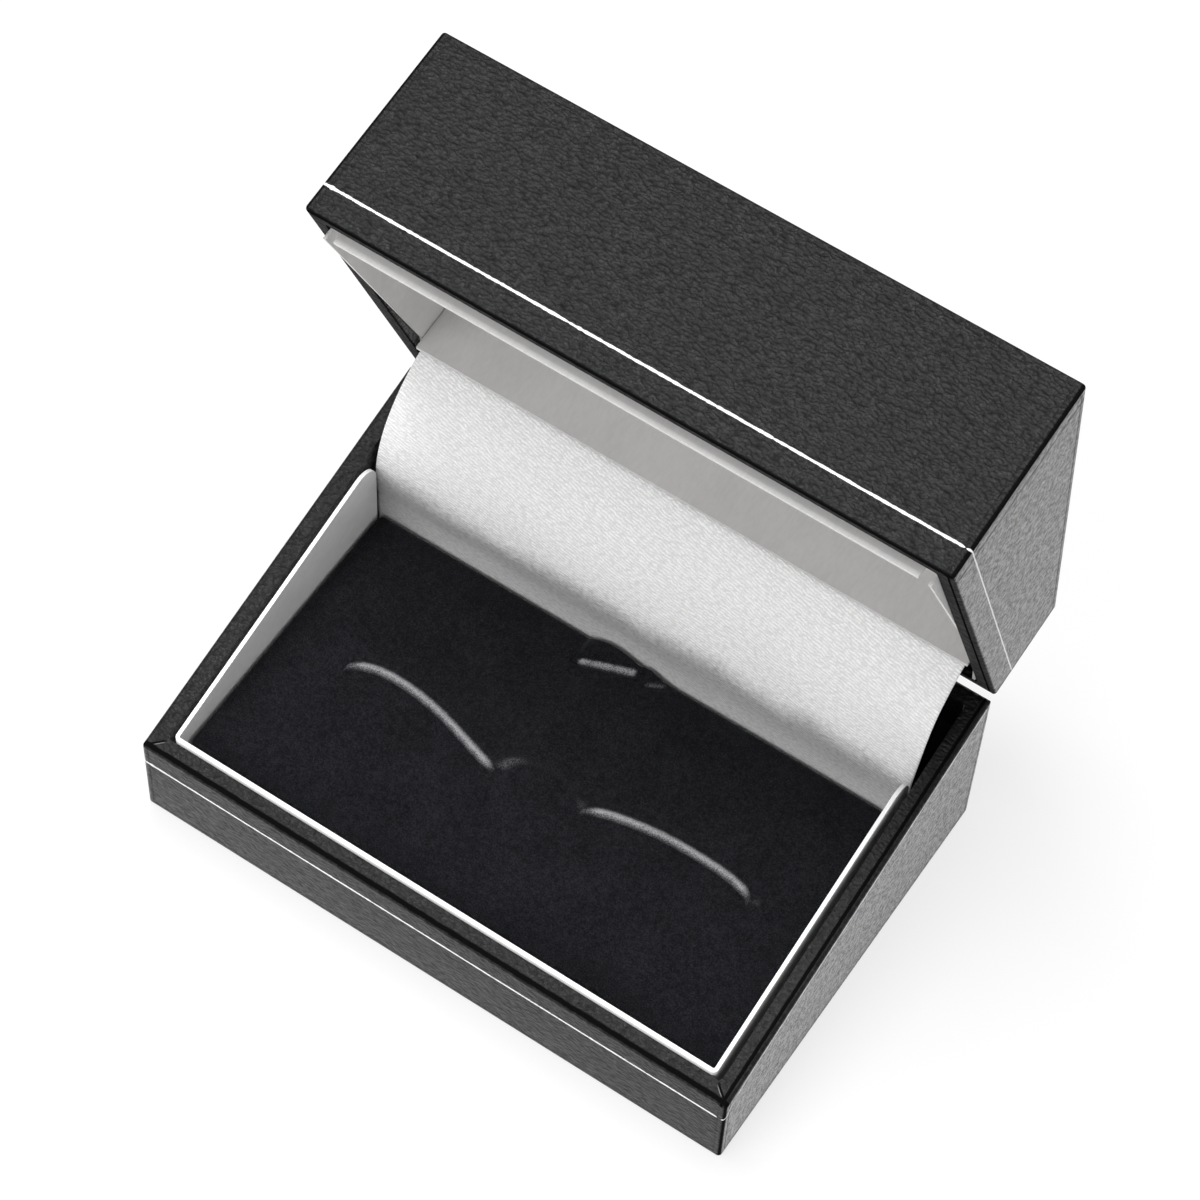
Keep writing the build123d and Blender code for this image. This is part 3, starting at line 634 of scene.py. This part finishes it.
def pad_cover():
    xs = crowded(-pad_half_width, pad_half_width, [], 0.27 * mm, 0.15 * mm)
    slit_band = (-7.6 * mm, -1.0 * mm)
    tab_band = (pad_back - 5.0 * mm, pad_back)
    ys = crowded(pad_front, pad_back, [slit_band, tab_band], 0.55 * mm, 0.11 * mm)
    grid_x, y = np.meshgrid(xs, ys)
    to_end = np.minimum(y - pad_front, pad_back - y)
    inset = np.clip(pad_corner - to_end, 0, pad_corner)
    narrowed = pad_half_width - (pad_corner - np.sqrt(np.clip(pad_corner**2 - inset**2, 0, None)))
    x = grid_x * narrowed / pad_half_width
    edge = np.minimum(narrowed - np.abs(x), to_end)
    drop = np.clip(pad_edge_round - edge, 0, pad_edge_round)
    rounding = pad_edge_round - np.sqrt(np.clip(pad_edge_round**2 - drop**2, 0, None))
    crown = 0.12 * mm * smooth_step(edge, 0, 6 * mm)
    ripple = 0.035 * mm * np.sin(x / (5.3 * mm) + 0.7) * np.sin(y / (4.1 * mm))
    z = pad_top - 0.1 * mm + crown + ripple - rounding
    pile_highlight = np.zeros_like(z)
    for relief in (
        slit_relief(x, y, left_slit), slit_relief(x, y, right_slit),
        tab_relief(x, y), swell_relief(x, y),
    ):
        z = z + relief[0] * smooth_step(edge, 0.0, 0.25 * mm)
        pile_highlight = np.maximum(pile_highlight, relief[1])
    top = np.stack([x, y, z], -1)
    rows, columns = x.shape
    index = np.arange(rows * columns).reshape(rows, columns)
    outline = np.concatenate([
        index[0, :-1], index[:-1, -1], index[-1, :0:-1], index[:0:-1, 0],
    ])
    rim = top.reshape(-1, 3)[outline]
    shrink = np.array([
        (pad_half_width - skirt_wall) / pad_half_width,
        (pad_back - pad_front - 2 * skirt_wall) / (pad_back - pad_front), 1.0,
    ])
    middle = np.array([0, (pad_back + pad_front) / 2, 0])
    inner = (rim - middle) * shrink + middle
    levels = [(rim, 10.4 * mm), (rim, pad_low), (inner, pad_low), (inner, board_top)]
    rings = []
    for ring, level in levels:
        placed = ring.copy()
        placed[:, 2] = level
        rings.append(placed)
    under = rings[-1]
    first = rows * columns
    size = len(outline)
    quads = [grid_quads(rows, columns)]
    previous = outline
    for step in range(len(rings)):
        current = first + step * size + np.arange(size)
        quads.append(np.stack([
            previous, current, np.roll(current, -1), np.roll(previous, -1),
        ], -1))
        previous = current
    centre = np.array([[0, middle[1], board_top]])
    centre_index = first + len(rings) * size
    hub = np.full(size, centre_index)
    fan = np.stack([previous, hub, np.roll(previous, -1)], -1)
    points = np.concatenate([top.reshape(-1, 3), *rings, centre])
    pile_highlight = np.concatenate([pile_highlight.ravel(), np.zeros(len(points) - rows * columns)])
    mesh = bpy.data.meshes.new("pad_cover")
    faces = np.concatenate(quads).tolist() + fan.tolist()
    mesh.from_pydata(points.tolist(), [], faces)
    mesh.attributes.new("pile_highlight", "FLOAT", "POINT").data.foreach_set("value", pile_highlight.astype(np.float32))
    mesh.shade_smooth()
    piece = bpy.data.objects.new("pad_cover", mesh)
    bpy.context.scene.collection.objects.link(piece)
    print("pad cover points:", len(points), "under the board:", len(under))
    return piece


# %% Flock finish
flock = Finish(
    "black_flock", Roughness=1.0, Sheen_Weight=0.1, Sheen_Roughness=0.45, Specular_IOR_Level=0.1
)
pile = flock.noise(0.19 * mm, 3, 0.8)
clump = flock.noise(0.75 * mm, 4, 0.6)
sweep = flock.noise(7 * mm, 2, 0.5)
# The pale flock on the slit rolls, the tab's lip, the swell and two spots is painted highlight, read
# from a value stored on each point.
lip = flock.add("ShaderNodeAttribute", {"attribute_name": "pile_highlight"}, {}, 2)
speck = flock.noise(0.15 * mm, 2, 0.8).step(0.36, 0.64)
lit_pile = (lip * (0.45 + speck * 0.8)).step(0.05, 1.0)
nap = (pile * 0.7 + clump * 0.2 + sweep * 0.1).step(0.4, 0.66)
flock_colour = flock.blend(nap, (0.0015, 0.0017, 0.0025, 1), (0.0165, 0.017, 0.0205, 1))
flock_colour = flock.blend(lit_pile, flock_colour, (0.3, 0.3, 0.31, 1))
flock.feed(Base_Color=flock_colour)
flock.relief(pile * 0.6 + clump * 0.4, 0.12 * mm, 0.8)

cover = pad_cover()
cover.data.materials.append(flock.material)
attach(cover, "pad")
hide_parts("pad_flock", "pad_foam")

# %% [markdown]
# ## Satin sheet
# A hemmed strip of white satin is glued behind the pad and under the card that hides the
# hinge. With the lid open it runs up behind the pad and then back in one full sweep, fuller on
# the left. It is a sheet whose mean line is found by adding up a smoothly turning direction,
# then pushed along its own normal by the fullness, a few soft folds and small puckers. The
# same weave follows the cloth through its own UV map, measured in metres of cloth.

# %% Satin sizes
satin_half_width = 39.2 * mm
satin_hem = 6.0 * mm
satin_thickness = 0.16 * mm
satin_rise = 4.0 * mm
satin_middle = 16.3 * mm + 0.15 * mm
cover_front = half_depth - 10.45 * mm
hem_y = cover_front + 0.6 * mm + 0.3 * mm + 0.15 * mm
cover_low = rim_height(cover_front) + split_gap
upper_edge = opened([0, hem_y, cover_low])
sweep_run = upper_edge[1] - satin_middle
sweep_climb = upper_edge[2] - (pad_top + satin_rise)
sweep_radius = (sweep_run**2 + sweep_climb**2) / (2 * sweep_run)
sweep_angle = math.atan2(sweep_climb, sweep_radius - sweep_run)
sweep_length = sweep_radius * sweep_angle
satin_length = satin_hem + satin_rise + sweep_length + satin_hem
print("satin sweep radius in mm:", round(sweep_radius / mm, 2), "length:", round(satin_length / mm, 2))


# %% Build the satin
def satin_sheet(rows=150, columns=300):
    """Points of the sheet: mean line from its turning direction, then pushed along the normal."""
    along = np.linspace(0, satin_length, rows)
    start = satin_hem + satin_rise
    turn = np.clip((along - start) / sweep_length, 0, 1) * sweep_angle
    hem_turn = math.pi / 2 - (math.pi / 2 - open_angle)
    fold_over = smooth_step(along, start + sweep_length - 1.0 * mm, start + sweep_length + 1.0 * mm)
    turn = turn + (hem_turn - sweep_angle) * fold_over
    step = along[1] - along[0]
    half_way = turn[:-1] + np.diff(turn) / 2
    y = satin_middle + np.concatenate([[0], np.cumsum(np.sin(half_way))]) * step
    z = pad_top - satin_hem + np.concatenate([[0], np.cumsum(np.cos(half_way))]) * step
    share = np.linspace(-1, 1, columns)
    slack = np.clip((along - start) / sweep_length, 0, 1)[:, None]
    swell = np.sin(np.pi * slack)
    across = share[None, :]
    fullness = 1.2 * swell * (1 - across) / 2
    fold = 0.3 * swell**2 * np.cos(2 * np.pi * (0.9 * across + slack / 3))
    soft = 0.16 * swell * np.sin(9.1 * across + 5.3 * slack + 0.6) * np.cos(3.7 * across - 2.1)
    pucker = 0.05 * swell * np.sin(31 * across + 14 * slack) * np.sin(17 * across + 1.3)
    corner = 0.5 * swell * bell(across - 0.97, 0.16) * np.sin(7 * slack + 2.5 * across)
    push = (fullness + fold + soft + pucker + corner) * mm
    normal_y, normal_z = -np.cos(turn)[:, None], np.sin(turn)[:, None]
    points = np.stack([
        across * satin_half_width + 0 * push,
        y[:, None] + normal_y * push,
        z[:, None] + normal_z * push,
    ], -1)
    return points, along, share * satin_half_width


satin_points, cloth_along, cloth_across = satin_sheet()
rows, columns = satin_points.shape[:2]
satin = mesh_from("satin_drape_cloth", satin_points, grid_quads(rows, columns))
cloth_uv = np.stack(np.broadcast_arrays(cloth_across[None, :], cloth_along[:, None]), -1).reshape(-1, 2)
corner_points = np.zeros(len(satin.data.loops), np.int32)
satin.data.loops.foreach_get("vertex_index", corner_points)
uv_map = satin.data.uv_layers.new(name="cloth")
uv_map.data.foreach_set("uv", cloth_uv[corner_points].astype(np.float32).ravel())

# %% Satin finish
silk = Finish("white_satin", IOR=1.45, Sheen_Weight=0.3, Sheen_Roughness=0.3)
u = silk.axis("x", silk.cloth)
v = silk.axis("y", silk.cloth)
drift = (silk.noise(1.5 * mm, 3, 0.6, silk.cloth) - 0.5) * (0.7 * mm)
ribs = ((u * 0.22 + v + drift) * (2 * math.pi / (0.4 * mm))).sine() * 0.5 + 0.5
rib_turn = (0, 0, -0.29)
long_spots = silk.moved(turn=rib_turn, scale=(0.7, 1.6, 1), of=silk.cloth)
broken = silk.noise(0.55 * mm, 3, 0.6, long_spots)
thin_threads = silk.moved(turn=rib_turn, scale=(0.6, 2.2, 1), of=silk.cloth)
threads = silk.noise(0.22 * mm, 3, 0.7, thin_threads)
slub = silk.noise(0.9 * mm, 4, 0.65, silk.cloth)
weave_height = ribs * (0.15 + broken.step(0.38, 0.62) * 0.85) * 0.5 + threads * 0.5
# The darker band over the lowest third is painted shade, matched to the photograph.
stray = v + (silk.noise(9 * mm, 2, 0.5, silk.cloth) - 0.5) * (4 * mm) + (slub - 0.5) * (3 * mm)
painted_light_share = stray.step(12 * mm, 17 * mm) + (1 - stray.step(6 * mm, 12.5 * mm)) * 0.42
tone = (weave_height * 0.75 + slub * 0.25).step(0.2, 0.62)
bright = silk.blend(tone, grey(0.68), grey(1.0))
shaded = silk.blend(tone, grey(0.28), grey(0.5))
silk.feed(Base_Color=silk.blend(painted_light_share, shaded, bright), Roughness=0.42 + threads * 0.2)
silk.relief(weave_height, 0.08 * mm, 1.0)
satin.data.materials.append(silk.material)
cloth_wall = satin.modifiers.new("thickness", "SOLIDIFY")
cloth_wall.thickness = satin_thickness
cloth_wall.offset = 0.0

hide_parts("satin_drape")
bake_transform(satin)

# %% [markdown]
# ## Table, light and camera
# The photograph is a cut-out on white under even light. The floor is pale to the camera and
# almost white to reflections, and still takes a soft shadow. Lamp powers are set.

# %% Floor and world
floor_mesh = bpy.data.meshes.new("floor")
reach = 3.0
floor_corners = [(-reach, -reach, 0), (reach, -reach, 0), (reach, reach, 0), (-reach, reach, 0)]
floor_mesh.from_pydata(floor_corners, [], [(0, 1, 2, 3)])
floor = bpy.data.objects.new("floor", floor_mesh)
bpy.context.scene.collection.objects.link(floor)

table = Finish("white_table", Roughness=0.9, Specular_IOR_Level=0.1)
table.shader.inputs["Base Color"].default_value = grey(0.8)
rays = table.tree.nodes.new("ShaderNodeLightPath")
seen = Pattern(table, rays.outputs["Is Camera Ray"]).most(
    Pattern(table, rays.outputs["Is Glossy Ray"])
).most(Pattern(table, rays.outputs["Is Transmission Ray"]))
glow = table.add("ShaderNodeEmission", {}, {"Color": grey(1.0), "Strength": 1.0})
mirrored = Pattern(table, rays.outputs["Is Glossy Ray"])
share_of_glow = seen * (0.76 + mirrored * 0.22)
mixed = table.add("ShaderNodeMixShader", {}, {
    0: share_of_glow, 1: Pattern(table, table.shader.outputs[0]), 2: glow,
})
output = table.tree.nodes["Material Output"]
table.tree.links.new(mixed.socket, output.inputs["Surface"])
floor.data.materials.append(table.material)

world = bpy.data.worlds.new("studio")
world.use_nodes = True
bpy.context.scene.world = world
world_tree = world.node_tree
background = world_tree.nodes["Background"]
background.inputs["Color"].default_value = grey(1.0)
world_rays = world_tree.nodes.new("ShaderNodeLightPath")
white_share = world_tree.nodes.new("ShaderNodeMapRange")
white_share.inputs["To Min"].default_value = 0.55
white_share.inputs["To Max"].default_value = 1.0
world_tree.links.new(world_rays.outputs["Is Camera Ray"], white_share.inputs["Value"])
world_tree.links.new(white_share.outputs[0], background.inputs["Strength"])


# %% Lamps
def soft_lamp(name, place, size, power, aim=(0, 0.01, 0.03)):
    lamp = bpy.data.lights.new(name, "AREA")
    lamp.shape = "RECTANGLE"
    lamp.size, lamp.size_y = size
    lamp.energy = power
    holder = bpy.data.objects.new(name, lamp)
    bpy.context.scene.collection.objects.link(holder)
    holder.location = place
    holder.rotation_mode = "QUATERNION"
    holder.rotation_quaternion = (Vector(place) - Vector(aim)).to_track_quat("Z", "Y")
    return holder


soft_lamp("overhead", (-0.15, 0.05, 0.9), (0.42, 0.42), 7.0)
soft_lamp("front_fill", (-0.25, -0.7, 0.55), (0.6, 0.4), 3.4)

# %% Camera from the fitted viewpoint
picture_side = 1200.0
focal_pixels = 4065.11
azimuth, elevation, roll = (math.radians(a) for a in (30.752, 58.771, 3.5065))
distance, slide_right, slide_up = 509.5 * mm, -5.1 * mm, -25.65 * mm

back = np.array([
    math.sin(azimuth) * math.cos(elevation),
    -math.cos(azimuth) * math.cos(elevation),
    math.sin(elevation),
])
level_right = np.array([math.cos(azimuth), math.sin(azimuth), 0.0])
level_up = np.cross(back, level_right)
right = level_right * math.cos(roll) + level_up * math.sin(roll)
up = -level_right * math.sin(roll) + level_up * math.cos(roll)
eye = back * distance - slide_right * right - slide_up * up

lens = bpy.data.cameras.new("camera")
lens.sensor_width = 36.0
lens.lens = focal_pixels / picture_side * lens.sensor_width
lens.clip_start, lens.clip_end = 0.01, 20.0
camera = bpy.data.objects.new("camera", lens)
bpy.context.scene.collection.objects.link(camera)
camera.matrix_world = Matrix([
    [*row, float(e)] for row, e in zip(np.stack([right, up, back], -1).tolist(), eye)
] + [[0, 0, 0, 1]])
bpy.context.scene.camera = camera
bpy.context.scene.view_settings.view_transform = "Standard"
print("camera at", [round(float(c), 4) for c in eye], "lens", round(lens.lens, 2))
